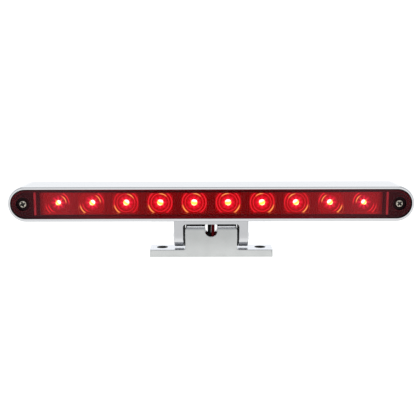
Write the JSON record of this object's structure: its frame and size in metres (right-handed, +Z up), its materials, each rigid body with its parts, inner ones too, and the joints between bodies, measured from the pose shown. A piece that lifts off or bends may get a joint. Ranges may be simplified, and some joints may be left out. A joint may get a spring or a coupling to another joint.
{
  "type": "third brake light",
  "caption": "Long chrome bar lamp with round ends and red LEDs behind a red lens, tilting on a yoke above a two-ear swivel base, with a black and a red lead.",
  "frame": {"origin": "on the mounting surface, at the middle of the foot and under the middle of the bar", "axes": "+X along the bar to its right seen from the front, +Y towards the back, +Z up; the lens faces -Y"},
  "size_m": [0.236, 0.0522, 0.043],
  "materials": {
    "chrome": "bright chrome plating",
    "satin_chrome": "satin chrome plating on a die casting",
    "red_lens": "clear red polycarbonate",
    "black_rubber": "soft black rubber",
    "tray_silver": "metallised plastic",
    "green_board": "solder resist",
    "red_led": "lit red resin",
    "black_plastic": "moulded, fine texture",
    "nickel": "nickel-plated steel",
    "black_wire": "PVC insulation",
    "red_wire": "PVC insulation",
    "tinned_copper": "tinned strands"
  },
  "bodies": {
    "base": {"swivel_base": "satin_chrome", "hinge_screw_left": "chrome", "hinge_screw_right": "chrome", "hinge_washer_left": "black_plastic", "hinge_washer_right": "black_plastic", "black_lead": "black_wire", "red_lead": "red_wire", "lead_coil": "black_wire", "coil_tie": "black_plastic", "black_lead_tip": "tinned_copper", "red_lead_tip": "tinned_copper"},
    "lamp_head": {"black_lead_inner": "black_wire", "chrome_housing": "chrome", "circuit_board": "green_board", "lamp_backplate": "black_plastic", "lamp_lens": "red_lens", "led_01": "red_led", "led_02": "red_led", "led_03": "red_led", "led_04": "red_led", "led_05": "red_led", "led_06": "red_led", "led_07": "red_led", "led_08": "red_led", "led_09": "red_led", "led_10": "red_led", "lens_gasket": "black_rubber", "lens_screw_left": "nickel", "lens_screw_right": "nickel", "polarity_diode": "black_plastic", "red_lead_inner": "red_wire", "reflector_tray": "tray_silver", "resistor_left": "black_plastic", "resistor_right": "black_plastic", "swivel_yoke": "chrome", "wire_grommet": "black_rubber", "yoke_screw_left": "nickel", "yoke_screw_right": "nickel"}
  },
  "joints": [
    {"name": "tilt_hinge", "type": "hinge", "parent": "base", "child": "lamp_head", "pos_m": [0, 0, 0.01122], "axis": [1, 0, 0], "range_deg": [-15, 15]}
  ]
}
